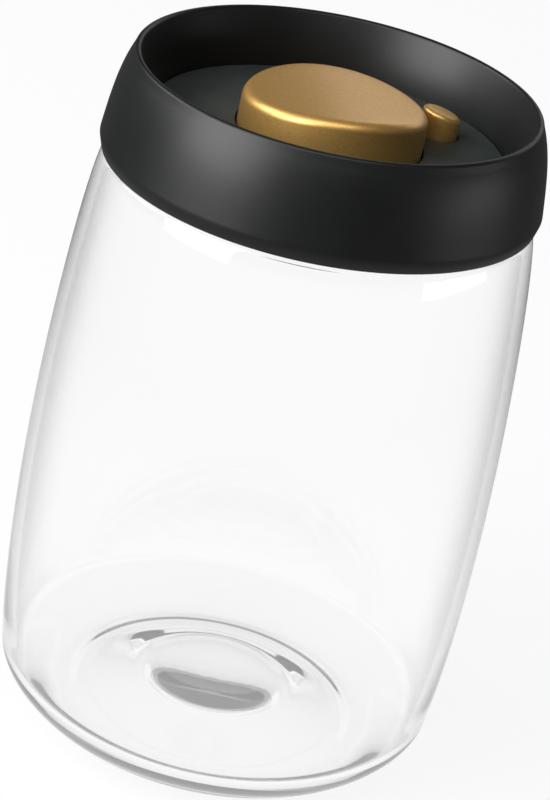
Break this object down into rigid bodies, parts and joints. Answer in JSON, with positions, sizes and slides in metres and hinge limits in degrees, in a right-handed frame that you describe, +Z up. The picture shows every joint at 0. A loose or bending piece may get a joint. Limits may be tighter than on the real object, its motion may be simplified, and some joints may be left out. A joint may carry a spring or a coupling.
{
  "type": "glass storage jar",
  "caption": "Clear barrel-shaped glass storage jar with a recessed black lid that holds a large round pump button and a small air-release button.",
  "frame": {"origin": "middle of the base ring, on the surface that the jar stands on", "axes": "+Z up along the jar's axis, +X from the pump button towards the small release button"},
  "size_m": [0.1152, 0.1152, 0.1729],
  "materials": {
    "clear_glass": "clear and smooth",
    "black_plastic": "matt, with a faint moulded texture",
    "grey_plastic": "matt",
    "gold_metal": "satin gold-coloured metallic coat",
    "silicone": "matt, off-white",
    "steel": "bright"
  },
  "bodies": {
    "jar": {"glass_jar": "clear_glass"},
    "lid": {"lid_shell": "black_plastic", "floor_plate": "black_plastic", "plug_body": "black_plastic", "lid_gasket": "silicone", "guide_ring": "grey_plastic", "inlet_valve": "silicone", "inlet_cover": "grey_plastic", "lid_screw_1": "steel", "lid_screw_2": "steel", "lid_screw_3": "steel", "lid_screw_4": "steel", "pump_spring": "steel", "release_spring": "steel"},
    "pump": {"pump_button": "gold_metal", "button_core": "grey_plastic", "core_screw": "steel", "pump_plunger": "grey_plastic", "piston_seal": "silicone"},
    "release": {"release_button": "gold_metal", "release_stem": "grey_plastic", "release_seal": "silicone"}
  },
  "joints": [
    {"name": "lid_lift", "type": "slide", "parent": "jar", "child": "lid", "axis": [0, 0, 1], "range_m": [0, 0.06]},
    {"name": "pump_press", "type": "slide", "parent": "lid", "child": "pump", "axis": [0, 0, -1], "range_m": [0, 0.007], "stiffness_N_per_m": 800, "springref_m": -0.009, "deforming": ["pump_spring"]},
    {"name": "release_press", "type": "slide", "parent": "lid", "child": "release", "axis": [0, 0, -1], "range_m": [0, 0.002], "stiffness_N_per_m": 400, "springref_m": -0.004, "deforming": ["release_spring"]}
  ]
}
